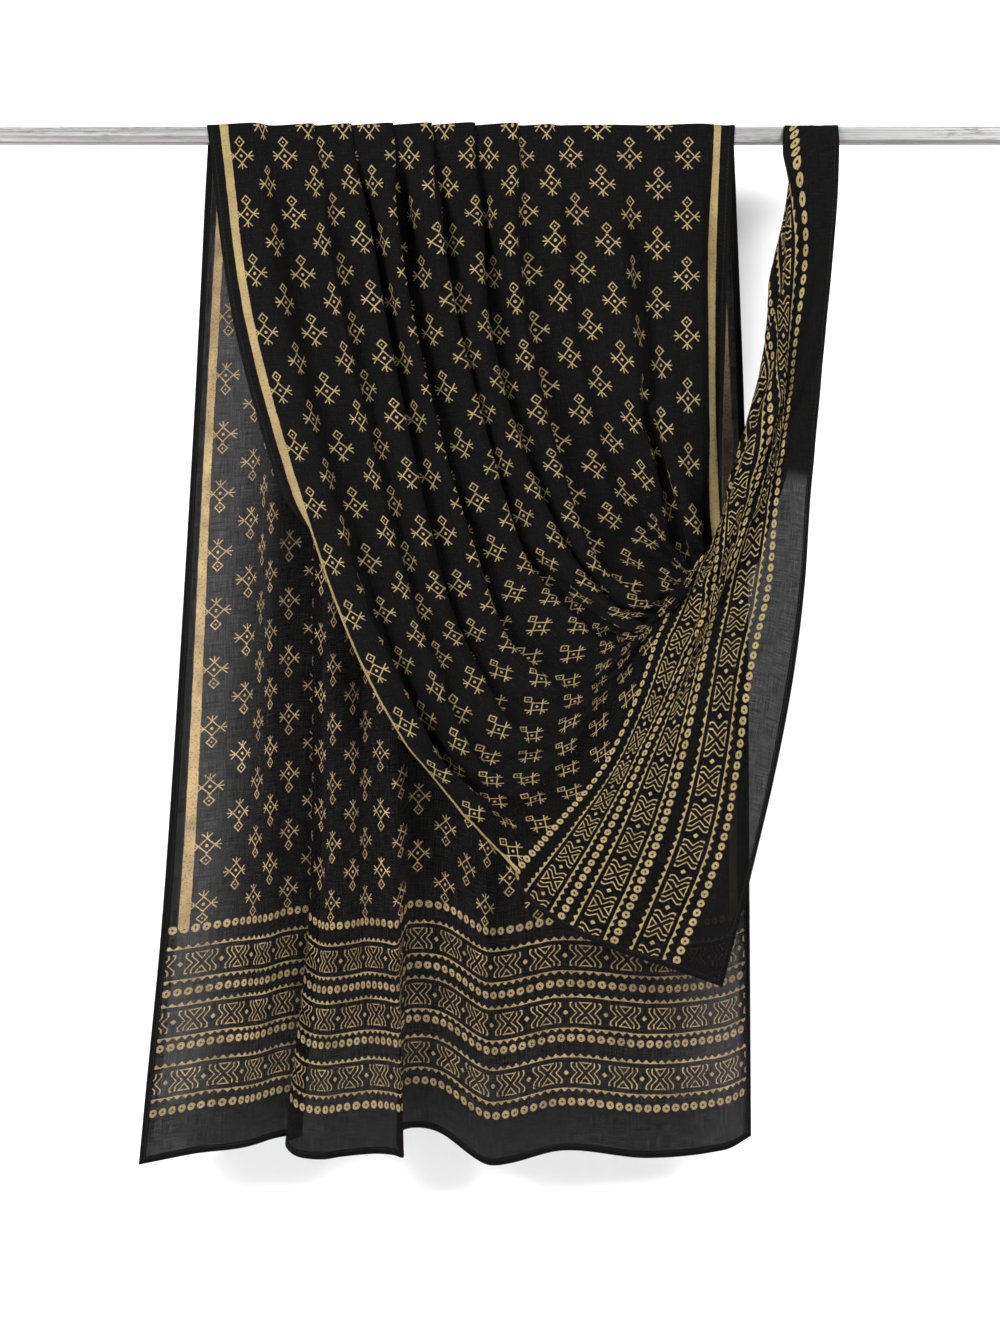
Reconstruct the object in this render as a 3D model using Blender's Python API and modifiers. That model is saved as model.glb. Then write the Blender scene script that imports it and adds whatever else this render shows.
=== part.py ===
"""Printed dupatta hanging over a plain square bar.

Two solids, in metres, +Z up: the bar along +X, and one oblong sheet of cloth that
crosses it. The origin is the centre of the bar's left end. The back fall hangs
straight on the +Y side; the front fall hangs on the -Y side, and its far right
corner is lifted back over the bar, so the front sags in a swag.
"""
import bpy
import bmesh
from mathutils import Vector

MM = 0.001

# ---- driving sizes (mm) -----------------------------------------------------
BAR_LENGTH = 1300.0
BAR_SIDE = 20.0
BAR_EDGE = 2.5            # rounding of the bar's four long edges
CLOTH_WIDTH = 1000.0
FRONT_LENGTH = 1276.0     # cloth from the bar's front top edge to the front hem
BACK_LENGTH = 1250.0      # cloth from the bar's rear top edge to the back hem
SHEET = 1.0               # thickness of the cloth's solid
SEAT = 0.3                # gap between the cloth and the bar's top
GATHER_FADE = 700.0       # distance over which the front gathers flatten out
TAIL = 36.0               # cloth of the lifted corner that lies on and behind the bar

REACH = BAR_SIDE / 2 + SEAT + SHEET / 2   # middle of the sheet from the bar's axis

# Front fall: one row per lengthwise thread. First its distance in from the left
# selvedge, then (across, depth, height) where it crosses each line of LINES.
# The last columns belong to the printed end that hangs from the lifted corner.
#   at the bar       thigh            knee             swag             belly
#   first ring row   second ring row  third ring row   fourth ring row  hem
LINES = (0, 252, 540, 686, 830, 995, 1072, 1140, 1216, 1276)
THREADS = (
    (0, (298, -11, 11), (333, -15, -238), (414, -26, -514), (469, -32, -652), (544, -36, -770),
     (658, -40, -899), (718, -40, -948), (783, -40, -978), (856, -40, -1001), (915, -40, -1021)),
    (151, (409, -11, 11), (448, -18, -239), (510, -36, -514), (549, -48, -634), (604, -56, -763),
     (726, -60, -821), (778, -60, -838), (836, -58, -853), (910, -54, -862), (951, -50, -875)),
    (259, (463, -11, 11), (494, -18, -239), (552, -38, -517), (592, -54, -634), (670, -64, -730),
     (775, -68, -756), (814, -68, -755), (862, -66, -760), (930, -62, -757), (976, -56, -766)),
    (367, (507, -11, 11), (536, -18, -241), (596, -38, -514), (643, -52, -619), (732, -62, -677),
     (813, -72, -655), (850, -74, -670), (885, -72, -643), (945, -68, -641), (996, -62, -658)),
    (476, (554, -11, 11), (573, -18, -242), (644, -36, -502), (716, -46, -580), (776, -56, -630),
     (826, -66, -572), (883, -76, -569), (904, -74, -556), (966, -70, -539), (1010, -64, -545)),
    (578, (600, -11, 11), (615, -18, -239), (688, -34, -493), (760, -46, -589), (818, -54, -607),
     (856, -58, -505), (895, -68, -475), (936, -72, -454), (976, -70, -433), (1017, -64, -439)),
    (675, (654, -11, 11), (667, -16, -239), (736, -28, -493), (818, -40, -589), (878, -48, -547),
     (902, -50, -439), (890, -60, -394), (958, -72, -370), (986, -70, -343), (1026, -64, -341)),
    (783, (728, -11, 11), (756, -16, -233), (818, -24, -493), (880, -36, -574), (932, -44, -487),
     (948, -46, -355), (928, -50, -305), (950, -66, -253), (994, -68, -256), (1036, -62, -235)),
    (892, (836, -11, 11), (834, -16, -241), (866, -22, -517), (924, -30, -547), (966, -32, -415),
     (992, -30, -259), (982, -29, -200), (958, -38, -160), (1011, -58, -118), (1047, -58, -122)),
    (1000, (932, -11, 11), (920, -14, -241), (916, -18, -527), (945, -24, -540), (996, -24, -395),
     (1024, -20, -232), (1026, -17, -156), (1018, -14, -82), (1006, -11, 11), (1054, -11, 11)),
)

# Gathers: (distance in from the left selvedge, half width, height above the bar)
GATHERS = (
    (75, 24, 2.0), (125, 24, 3.0), (185, 28, 4.0), (245, 28, 5.0), (305, 28, 4.0), (365, 28, 5.0),
    (425, 28, 4.0), (485, 28, 4.5), (550, 30, 3.0), (620, 32, 3.0), (700, 34, 2.0), (781, 34, 2.0),
)

# Lifted corner: (distance down the front, cloth past the bar's front edge, x at the bar)
CORNER = (
    (1204, 0, 992), (1214, 12, 1001), (1223, 2 * REACH, 1010), (1233, 30, 1019), (1246, 33, 1030),
    (1276, TAIL, 1056),
)

# Back fall: (height, left selvedge, right selvedge)
BACK_SIDES = (
    (11, 298, 932), (-143, 289, 936), (-386, 276, 948), (-655, 260, 954),
    (-907, 242, 952), (-1075, 224, 951), (-1250, 210, 958),
)
# Back hem: (distance in from the left selvedge, depth behind the bar's axis, height)
BACK_HEM = (
    (0, 24, -1246), (110, 18, -1228), (232, 36, -1211), (275, 12, -1231), (330, 10, -1230),
    (430, 14, -1228), (462, 38, -1206), (520, 16, -1224), (585, 12, -1243), (640, 30, -1228),
    (700, 14, -1225), (790, 12, -1230), (880, 14, -1241), (930, 28, -1226), (1000, 18, -1207),
)

# Sections the sheet is cut into
ACROSS = (0, 25, 51, 75, 100, 125, 155, 185, 215, 245, 275, 305, 335, 365, 395, 425, 455, 485, 518,
          550, 584, 620, 658, 700, 740, 781, 815, 850, 885, 912, 938)
DOWN_FRONT = (0, 20, 60, 110, 160, 210, 260, 320, 380, 440, 500, 545, 590, 630, 670, 710, 755, 800,
              850, 900, 950, 990, 1030, 1070, 1105, 1140, 1170, 1204, 1214, 1223, 1233, 1246, 1276)
OVER_BAR = (-4.0, 4.0)
DOWN_BACK = (0, 20, 70, 140, 220, 310, 400, 490, 580, 670, 760, 850, 940, 1020, 1100, 1180, 1250)
CORNER_STEPS = 4


def curve(knots, values, q):
    """Smooth curve through uneven knots, held straight past its ends."""
    last = len(knots) - 1
    i = 0
    while i < last - 1 and q > knots[i + 1]:
        i += 1
    span = knots[i + 1] - knots[i]
    slopes = []
    for k in (i, i + 1):
        a = max(k - 1, 0)
        b = min(k + 1, last)
        slopes.append((values[b] - values[a]) / (knots[b] - knots[a]))
    f = min(max((q - knots[i]) / span, 0.0), 1.0)
    h00 = (1 + 2 * f) * (1 - f) ** 2
    h01 = f * f * (3 - 2 * f)
    h10 = f * (1 - f) ** 2 * span
    h11 = f * f * (f - 1) * span
    return h00 * values[i] + h01 * values[i + 1] + h10 * slopes[0] + h11 * slopes[1]


def column(rows, k):
    """Column k of a table."""
    return [row[k] for row in rows]


def gather(across):
    """Height of the gathers above the bar at a distance from the left selvedge."""
    height = 0.0
    for centre, half, top in GATHERS:
        reach = abs(across - centre) / half
        if reach < 1.0:
            height += top * (1.0 - reach) ** 2 * (1.0 + 2.0 * reach)
    return height


def thread_point(across, down):
    """Point of the front fall, with its gathers fading out down the cloth."""
    knots = column(THREADS, 0)
    point = []
    for axis in range(3):
        along = [curve(LINES, [spot[axis] for spot in row[1:]], down) for row in THREADS]
        point.append(curve(knots, along, across))
    lift = gather(across) * max(0.0, 1.0 - down / GATHER_FADE) * (1.0 + 1.5 * min(down / 200.0, 1.0))
    x, y, z = point
    if down < 1:
        return Vector((x, -REACH - 0.7 * lift, REACH + 0.7 * lift))
    return Vector((x, min(y, -REACH) - lift, z))


def back_point(across, down):
    """Point of the back fall: gathered at the bar, opening into soft folds at the hem."""
    part = down / BACK_LENGTH
    sides = BACK_SIDES[::-1]
    hem_z = curve(column(BACK_HEM, 0), column(BACK_HEM, 2), across)
    z = REACH + (hem_z - REACH) * part
    left = curve(column(sides, 0), column(sides, 1), z)
    right = curve(column(sides, 0), column(sides, 2), z)
    at_bar = (thread_point(across, 0).x - BACK_SIDES[0][1]) / (BACK_SIDES[0][2] - BACK_SIDES[0][1])
    open_out = min(part * 1.4, 1.0)
    open_out = open_out * open_out * (3 - 2 * open_out)
    share = at_bar + (across / CLOTH_WIDTH - at_bar) * open_out
    x = left + (right - left) * share
    hem_y = curve(column(BACK_HEM, 0), column(BACK_HEM, 1), across)
    lift = gather(across) * max(0.0, 1.0 - 1.2 * part)
    if down < 1:
        return Vector((x, REACH + 0.7 * lift, REACH + 0.7 * lift))
    return Vector((x, REACH + 1.0 + lift * 1.6 + (hem_y - REACH) * part ** 0.8, z))


def corner_point(down, step):
    """Point of the lifted corner: step 0 is the bar's front edge, the last is the selvedge."""
    past = curve(column(CORNER, 0), column(CORNER, 1), down)
    x = curve(column(CORNER, 0), column(CORNER, 2), down)
    if down < CORNER[0][0]:
        across = ACROSS[-1] + (CLOTH_WIDTH - ACROSS[-1]) * (step + 1) / (CORNER_STEPS + 1)
        return thread_point(across, down)
    if past < 1.0:
        return Vector((x, -REACH - 0.2 * (CORNER_STEPS - step), REACH - 0.5 * (CORNER_STEPS - step)))
    top = 2 * REACH
    if past <= top:
        run = past * step / CORNER_STEPS
    else:
        run = top * step / (CORNER_STEPS - 1) if step < CORNER_STEPS else past
    if run <= top:
        return Vector((x, -REACH + run, REACH))
    return Vector((x, REACH, REACH - (run - top)))


def sheet_rows():
    """Every row of the sheet from the front hem, over the bar, to the back hem."""
    rows = []
    for down in reversed(DOWN_FRONT):
        row = [thread_point(across, down) for across in ACROSS]
        if down >= CORNER[0][0]:
            past = curve(column(CORNER, 0), column(CORNER, 1), down)
            edge_x = curve(column(CORNER, 0), column(CORNER, 2), down)
            for k, across in enumerate(ACROSS):
                pull = max(0.0, (across - 860.0) / (ACROSS[-1] - 860.0))
                below = CLOTH_WIDTH - past - across
                row[k] = row[k].lerp(Vector((edge_x, -REACH - 0.5 * below, REACH - 0.85 * below)), pull * pull)
        row += [corner_point(down, step) for step in range(CORNER_STEPS + 1)]
        rows.append(row)
    rest = CLOTH_WIDTH - ACROSS[-1]
    width = list(ACROSS) + [ACROSS[-1] + rest * k / (CORNER_STEPS + 1) for k in range(1, CORNER_STEPS + 2)]
    for y in OVER_BAR:
        rows.append([Vector((thread_point(s, 0).x, y, REACH + gather(s))) for s in width])
    for down in DOWN_BACK:
        rows.append([back_point(s, down) for s in width])
    return rows


def material(name, colour, metallic, roughness):
    """A plain Principled material."""
    mat = bpy.data.materials.new(name)
    mat.use_nodes = True
    shader = mat.node_tree.nodes["Principled BSDF"]
    shader.inputs["Base Color"].default_value = (*colour, 1.0)
    shader.inputs["Metallic"].default_value = metallic
    shader.inputs["Roughness"].default_value = roughness
    return mat


def make_bar(collection, mat):
    """The square bar, its long edges rounded."""
    bpy.ops.mesh.primitive_cube_add(size=1.0, location=(BAR_LENGTH / 2 * MM, 0.0, 0.0))
    bar = bpy.context.object
    bar.name = "bar"
    bar.data.name = "bar"
    bar.scale = (BAR_LENGTH * MM, BAR_SIDE * MM, BAR_SIDE * MM)
    bpy.ops.object.transform_apply(location=False, rotation=False, scale=True)
    shape = bmesh.new()
    shape.from_mesh(bar.data)
    long_edges = [e for e in shape.edges if abs(e.verts[0].co.x - e.verts[1].co.x) > 0.1]
    bmesh.ops.bevel(shape, geom=long_edges, offset=BAR_EDGE * MM, segments=3, affect="EDGES", profile=0.5)
    shape.to_mesh(bar.data)
    shape.free()
    bar.data.materials.append(mat)
    for old in list(bar.users_collection):
        old.objects.unlink(bar)
    collection.objects.link(bar)
    return bar


def make_dupatta(collection, mat):
    """The whole cloth as one thin sheet."""
    shape = bmesh.new()
    grid = [[shape.verts.new(point * MM) for point in row] for row in sheet_rows()]
    for lower, upper in zip(grid, grid[1:]):
        for k in range(len(lower) - 1):
            shape.faces.new((lower[k], lower[k + 1], upper[k + 1], upper[k]))
    mesh = bpy.data.meshes.new("dupatta")
    shape.to_mesh(mesh)
    shape.free()
    cloth = bpy.data.objects.new("dupatta", mesh)
    collection.objects.link(cloth)
    cloth.data.materials.append(mat)
    skin = cloth.modifiers.new("thickness", "SOLIDIFY")
    skin.thickness = SHEET * MM
    skin.offset = 0.0
    skin.use_even_offset = False
    split = cloth.modifiers.new("triangles", "TRIANGULATE")
    split.quad_method = "FIXED"
    return cloth


def main():
    for old in list(bpy.data.objects):
        bpy.data.objects.remove(old, do_unlink=True)
    collection = bpy.data.collections.new("printed_dupatta")
    bpy.context.scene.collection.children.link(collection)
    metal = material("bar_metal", (0.62, 0.63, 0.65), 1.0, 0.35)
    voile = material("cotton_voile", (0.012, 0.011, 0.010), 0.0, 0.85)
    make_bar(collection, metal)
    make_dupatta(collection, voile)


main()
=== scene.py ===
import math

import bmesh
import bpy
import numpy as np
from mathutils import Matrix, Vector


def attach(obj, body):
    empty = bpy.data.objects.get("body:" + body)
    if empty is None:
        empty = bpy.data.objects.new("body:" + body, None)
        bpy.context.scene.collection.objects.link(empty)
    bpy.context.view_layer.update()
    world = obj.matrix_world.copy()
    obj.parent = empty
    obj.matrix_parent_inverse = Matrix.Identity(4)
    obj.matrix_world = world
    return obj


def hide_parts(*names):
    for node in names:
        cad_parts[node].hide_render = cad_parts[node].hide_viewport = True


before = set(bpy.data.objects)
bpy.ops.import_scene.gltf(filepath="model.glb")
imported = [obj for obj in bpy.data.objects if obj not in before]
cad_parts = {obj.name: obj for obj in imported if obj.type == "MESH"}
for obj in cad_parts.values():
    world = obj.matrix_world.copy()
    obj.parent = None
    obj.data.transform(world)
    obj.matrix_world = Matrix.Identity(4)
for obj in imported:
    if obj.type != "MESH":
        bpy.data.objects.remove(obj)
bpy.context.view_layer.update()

bl_info = {
    "name": "Printed dupatta",
    "version": (1, 0, 0),
    "blender": (4, 5, 0),
    "location": "View3D > Sidebar > Dupatta",
    "description": "A block-printed voile dupatta hanging over a bar, with its studio",
    "category": "Object",
}

# ---- the hang: where the cloth lies in the frame, in millimetres ----
MM = 0.001
WIDTH = 1000.0
BACK = 1250.0
OVER = 21.6
FRONT = 1276.0
LENGTH = BACK + OVER + FRONT
# From the middle of the bar to the cloth that lies round it.
REACH = 10.8
# Lines across the front fall, as cloth lengths below the bar.
LINES = (0, 252, 540, 686, 830, 995, 1072, 1140, 1216, 1276)
# One row per lengthwise thread: distance in from the left selvedge, then
# (across, depth, height) at each of the lines above.
THREADS = (
    (0, (298, -11, 11), (333, -15, -238), (414, -26, -514), (469, -32, -652), (544, -36, -770),
     (658, -40, -899), (718, -40, -948), (783, -40, -978), (856, -40, -1001), (915, -40, -1021)),
    (151, (409, -11, 11), (448, -18, -239), (510, -36, -514), (549, -48, -634), (604, -56, -763),
     (726, -60, -821), (778, -60, -838), (836, -58, -853), (910, -54, -862), (951, -50, -875)),
    (259, (463, -11, 11), (494, -18, -239), (552, -38, -517), (592, -54, -634), (670, -64, -730),
     (775, -68, -756), (814, -68, -755), (862, -66, -760), (930, -62, -757), (976, -56, -766)),
    (367, (507, -11, 11), (536, -18, -241), (596, -38, -514), (643, -52, -619), (732, -62, -677),
     (813, -72, -655), (850, -74, -670), (885, -72, -643), (945, -68, -641), (996, -62, -658)),
    (476, (554, -11, 11), (573, -18, -242), (644, -36, -502), (716, -46, -580), (776, -56, -630),
     (826, -66, -572), (883, -76, -569), (904, -74, -556), (966, -70, -539), (1010, -64, -545)),
    (578, (600, -11, 11), (615, -18, -239), (688, -34, -493), (760, -46, -589), (818, -54, -607),
     (856, -58, -505), (895, -68, -475), (936, -72, -454), (976, -70, -433), (1017, -64, -439)),
    (675, (654, -11, 11), (667, -16, -239), (736, -28, -493), (818, -40, -589), (878, -48, -547),
     (902, -50, -439), (890, -60, -394), (958, -72, -370), (986, -70, -343), (1026, -64, -341)),
    (783, (728, -11, 11), (756, -16, -233), (818, -24, -493), (880, -36, -574), (932, -44, -487),
     (948, -46, -355), (928, -50, -305), (950, -66, -253), (994, -68, -256), (1036, -62, -235)),
    (892, (836, -11, 11), (834, -16, -241), (866, -22, -517), (924, -30, -547), (966, -32, -415),
     (992, -30, -259), (982, -29, -200), (958, -38, -160), (1011, -58, -118), (1047, -58, -122)),
    (1000, (932, -11, 11), (920, -14, -241), (916, -18, -527), (945, -24, -540), (996, -24, -395),
     (1024, -20, -232), (1026, -17, -156), (1018, -14, -82), (1006, -11, 11), (1054, -11, 11)),
)
# Pleats at the bar: distance in from the left selvedge at which each one ends.
PLEAT_ENDS = (118, 196, 277, 386, 501, 620, 723, 781, 890, 1000)
# Share of a pleat's rise that shows at the bar, how far down it takes to show in full, and where it dies out.
BAR_RISE = 0.10
RISE_FULL = 170
PLEATS_FADE = (760, 1100)
# How far in front of the bar's middle the folds may stand, and the least room that they get.
FOLD_LIMIT = 86.0
FOLD_ROOM = 4.0
# Lifted corner: (distance down the front, cloth past the bar's front edge, x at the bar)
CORNER = (
    (1204, 0, 992), (1214, 12, 1001), (1223, 21.6, 1010), (1233, 30, 1019), (1246, 33, 1030),
    (1276, 36, 1056),
)
# The pull of the lifted corner: where it begins across the cloth, how wide it is, and how far its cloth
# comes forward and down from the bar over each millimetre.
PULL_START = 860.0
PULL_WIDTH = 78.0
PULL_FORWARD = 0.5
PULL_DOWN = 0.85
# Back fall: distance in from the left selvedge, then (across, depth) at each height of
# BACK_HEIGHTS, and the height of the hem. A column that steps back to the left is a fold.
BACK_HEIGHTS = (-415, -920, -1172)
BACK_THREADS = (
    (0, (274, 30), (241, 36), (217, 40), -1246), (43, (311, 28), (290, 32), (258, 34), -1237),
    (80, (350, 24), (327, 28), (293, 26), -1229), (117, (366, 4), (352, 10), (332, 16), -1223),
    (154, (377, -8), (372, -6), (354, 12), -1218), (192, (398, 12), (393, 16), (378, 22), -1211),
    (229, (430, 24), (420, 28), (404, 32), -1208), (252, (438, 26), (432, 32), (412, 36), -1210),
    (275, (428, 12), (420, 12), (395, 14), -1215), (303, (440, -6), (433, -6), (409, -6), -1227),
    (340, (458, -10), (447, -12), (437, -10), -1231), (377, (475, 6), (472, 2), (462, 0), -1229),
    (415, (495, 14), (487, 14), (496, 4), -1226), (452, (512, 0), (508, -4), (519, -6), -1226),
    (480, (530, -4), (526, -10), (533, -10), -1228), (498, (541, 10), (534, 10), (526, 14), -1213),
    (515, (550, 24), (540, 28), (536, 34), -1201), (563, (590, 34), (583, 38), (576, 40), -1206),
    (637, (662, 20), (632, 22), (632, 18), -1241), (668, (690, 26), (655, 34), (660, 34), -1243),
    (740, (745, 10), (725, 12), (727, 14), -1224), (850, (835, 20), (838, 22), (830, 20), -1234),
    (950, (905, 28), (912, 26), (920, 28), -1226), (1000, (948, 20), (952, 18), (954, 22), -1208),
)
# The left selvedge rolls back: distance in from it of the roll's line, the most that it turns, how far it
# stands behind, and where down the front fall the roll begins and ends.
ROLL_LINE = 26.5
ROLL_TURN = math.radians(165.0)
ROLL_GAP = 2.5
ROLL_STARTS = (430, 560)
ROLL_ENDS = (945, 1045)
# Columns of the sheet for the rolled selvedge and, past this line, for the lifted corner; rows of the
# sheet for the bar and for the lifted corner.
ROLL_COLUMNS = 4
CORNER_COLUMNS = 14
CORNER_LINE = 952.0
BAR_ROWS = 6
CORNER_ROWS = 22

# ---- the front fall's sag ----
SETTLE_FRAMES = 30
# Columns and rows of the fall, and where it begins; then the same for the back fall that stops it.
SETTLE_GRID = (68, 88)
SETTLE_FROM = BACK + OVER - 30.0
STOP_GRID = (51, 61)
STOP_TO = BACK + 2.0
# Firmness at the edges and between them, the width of the firm edge, and how much narrower it is on
# the right.
SETTLE_EDGE = 0.8
SETTLE_HOLD = 0.12
EDGE_WIDTH = 25.0
RIGHT_NARROWS = 1.6
# Held fast: this far down from the bar, and from this far across at the lifted corner.
FAST_DOWN = 6.0
FAST_ACROSS = 975.0
# How far below the bar the sag begins and is whole.
SAG_FADE = (4, 110)
SETTLE_CLOTH = (
    ("quality", 5), ("mass", 0.0003), ("air_damping", 2.0), ("tension_stiffness", 15.0),
    ("compression_stiffness", 8.0), ("shear_stiffness", 3.0), ("bending_stiffness", 0.5),
    ("tension_damping", 5.0), ("compression_damping", 5.0), ("shear_damping", 5.0), ("bending_damping", 0.5),
)
# How near, in metres, the cloth comes to the back fall and to itself, and the back fall's own shell.
SETTLE_COLLISION = (("distance_min", 0.002), ("use_self_collision", True), ("self_distance_min", 0.0035))
STOP_SHELL = 0.001

# ---- the print, in millimetres ----
# The field: place of column 0, number of the last column, from column to column, from motif to motif,
# and how far each column steps on.
FIRST_COLUMN = 43.0
LAST_COLUMN = 24.0
COLUMN_PITCH = 37.15
MOTIF_PITCH = 72.0
COLUMN_STEP = 36.0
# A motif's middle lies this far down the front fall in column 0; none is nearer a hem than this.
FIELD_PHASE = 38.4
FIELD_FROM_HEM = 292.0
# The back fall's motifs sit nearer the bar by this much this far from the hem, and less and less above.
FIELD_SLIP = 8.0
SLIP_FROM = 300.0
# The end pattern, from each hem: the first band's middle and the first row of rings, then
# (where the next one takes over, how much farther on it lies).
FIRST_BAND = 95.5
NEXT_BANDS = ((132.0, 73.5), (204.0, 70.0))
FIRST_ROW = 60.0
NEXT_ROWS = ((99.0, 78.0), (171.0, 67.0), (243.0, 77.0))
PATTERN_INSET = 9.0
# The stripe down each selvedge: its middle, half its width, and where it stops short of the hem.
STRIPE_MIDDLE = 23.6
STRIPE_HALF = 5.2
STRIPE_FROM_HEM = 283.0
# Spread and soft edge of the pigment round the drawn strokes, its raggedness, and the sway of hand printing.
PRINT_SPREAD = 0.69
PRINT_SOFT = 0.25
PRINT_RAGGED = 1.3
PRINT_SWAY = 1.6
# Width of the denser hem, and from thread to thread.
HEM_REACH = 8.5
WEAVE_PITCH = 0.9
# Share of light that one face stops: at the hems, and where nothing shows through.
HEM_COVER = 0.955
FULL_COVER = 0.985

# ---- relief and studio, in metres ----
BUMP_DEPTH = 0.0002
LIGHTS = (
    # name, place, size, power
    ("key_left", (-3.0, -3.6, 2.0), 2.2, 480.0),
    ("key_right", (3.7, -3.7, 1.7), 2.2, 270.0),
)
LIGHTS_AIM = (0.65, 0.0, -0.5)
WORLD_STRENGTH = 0.17
CAMERA_X = 0.65
CAMERA_Z = -0.639
SENSOR_HEIGHT = 24.0
# Height of the view at the front of the cloth on the bar.
VIEW_HEIGHT = 1.6
BACKDROP_SIDES = (-5.0, 6.3)
BACKDROP_NEAR = -6.0
BACKDROP_TOP = 3.2
BACKDROP_BEND = 0.12
BEND_STEPS = 8


# ---- curves ----
def curve(knots, values, q):
    """Smooth curve through uneven knots; values are (n, ...), q is (m,)."""
    knots = np.asarray(knots, float)
    values = np.asarray(values, float)
    slope = np.empty_like(values)
    last = len(knots) - 1
    for i in range(last + 1):
        a, b = max(i - 1, 0), min(i + 1, last)
        slope[i] = (values[b] - values[a]) / (knots[b] - knots[a])
    i = np.clip(np.searchsorted(knots, q, side="right") - 1, 0, last - 1)
    h = knots[i + 1] - knots[i]
    f = np.clip((q - knots[i]) / h, 0.0, 1.0)
    widen = (slice(None),) + (None,) * (values.ndim - 1)
    f, h = f[widen], h[widen]
    start = (1 + 2 * f) * (1 - f) ** 2 * values[i] + f * (1 - f) ** 2 * h * slope[i]
    return start + f * f * (3 - 2 * f) * values[i + 1] + f * f * (f - 1) * h * slope[i + 1]


def ease(a, b, q):
    """0 up to a, 1 from b on."""
    f = np.clip((np.asarray(q, float) - a) / (b - a), 0.0, 1.0)
    return f * f * (3 - 2 * f)


def table(rows, k):
    """Column k of a table."""
    return np.array([row[k] for row in rows], float)


# ---- the draped sheet ----
FOLD_STEPS = 128
FOLD_TURNS = 28
MOST_TURN = 1.12 * math.pi
TUCK_MIDDLE = 0.73
TUCK_WIDTH = 0.19


def fold_shapes():
    """Side views of one fold, from flat to turned right back under itself.

    The cloth keeps its length. Each row is one amount of turn; run and rise are how far along
    and how proud the cloth is at equal steps of its own length, as shares of the fold's length.
    """
    step = np.linspace(0, 1, FOLD_STEPS + 1)
    tuck = np.exp(-((step - TUCK_MIDDLE) / TUCK_WIDTH) ** 4)
    runs, rises = [], []
    for turn in np.linspace(0, MOST_TURN, FOLD_TURNS):
        # the lean that brings the fold's end back to the height of its start
        low, high = -0.2, 1.4
        for _ in range(30):
            lean = (low + high) / 2
            if np.mean(np.sin(lean - turn * tuck)) < 0:
                low = lean
            else:
                high = lean
        angle = lean - turn * tuck
        middle = (angle[1:] + angle[:-1]) / 2
        runs.append(np.concatenate([[0], np.cumsum(np.cos(middle)) / FOLD_STEPS]))
        rises.append(np.concatenate([[0], np.cumsum(np.sin(middle)) / FOLD_STEPS]))
    return np.array(runs), np.array(rises)


FOLD_RUN, FOLD_RISE = fold_shapes()


def folded(share, step):
    """(run as a share of the whole run, rise) at steps 0..1 along a fold that shows share of its cloth."""
    total = FOLD_RUN[:, -1]
    turn = np.interp(-np.clip(share, total.min() + 0.001, 1), -total, np.arange(len(total)))
    k = np.minimum(turn.astype(int), len(total) - 2)
    g = turn - k

    def blended(shapes):
        ticks = np.arange(FOLD_STEPS + 1)
        low, high = (np.interp(step * FOLD_STEPS, ticks, shapes[i]) for i in (k, k + 1))
        return (1 - g) * low + g * high

    return blended(FOLD_RUN) / ((1 - g) * total[k] + g * total[k + 1]), blended(FOLD_RISE)


KNOTS = table(THREADS, 0)
NET = np.array([row[1:] for row in THREADS], float)
STEPS = np.arange(0, WIDTH + 1, 4.0)


def pleated(across, row):
    """(place, rise) along one line across the cloth; row is its threads' places.

    Each pleat hides the cloth that its line is short of.
    """
    line = curve(KNOTS, row, STEPS)
    length = np.concatenate([[0], np.cumsum(np.linalg.norm(np.diff(line, axis=0), axis=1))])
    place, rise = across.copy(), np.zeros_like(across)
    start = 0
    for end in PLEAT_ENDS:
        inside = (across >= start) & (across <= end)
        a, b = np.interp((start, end), STEPS, length)
        run, up = folded(np.array((b - a) / (end - start)), (across[inside] - start) / (end - start))
        place[inside] = start + (end - start) * run
        rise[inside] = up * (end - start)
        start = end
    return place, rise


def front_fall(across, down):
    """Points of the front fall, (rows of down, columns of across, 3)."""
    lines = np.stack([curve(LINES, NET[k], down) for k in range(len(KNOTS))])
    points = np.empty((len(down), len(across), 3))
    for j, d in enumerate(down):
        place, rise = pleated(across, lines[:, j])
        strength = 1 - ease(*PLEATS_FADE, d)
        place = across + (place - across) * strength
        points[j] = curve(KNOTS, lines[:, j], place)
        proud = rise * (BAR_RISE + (1 - BAR_RISE) * ease(0, RISE_FULL, d)) * strength
        room = np.clip(FOLD_LIMIT + points[j, :, 1], FOLD_ROOM, None)
        points[j, :, 1] -= room * (1 - np.exp(-proud / room))
    return points


def roll_edge(points, across, down):
    """Rolls the left selvedge behind itself along the sag of the front fall."""
    rolled = across < ROLL_LINE
    at = int(np.searchsorted(across, ROLL_LINE))
    for j, d in enumerate(down):
        turn = ROLL_TURN * float(ease(*ROLL_STARTS, d) * (1 - ease(*ROLL_ENDS, d)))
        out = points[j, rolled, 0] - points[j, at, 0]
        points[j, rolled, 0] = points[j, at, 0] + out * math.cos(turn)
        points[j, rolled, 1] += np.abs(out) * math.sin(turn) + ROLL_GAP * (1 - math.cos(turn))
    return points


def bar_path(run):
    """(depth, height) of the cloth's way over the bar; run 0 is its front top edge."""
    run = np.asarray(run, float)
    top = np.clip(run, 0, OVER)
    y = -REACH + top
    z = REACH - np.clip(-run, 0, None) - np.clip(run - OVER, 0, None)
    return y, z


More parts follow.
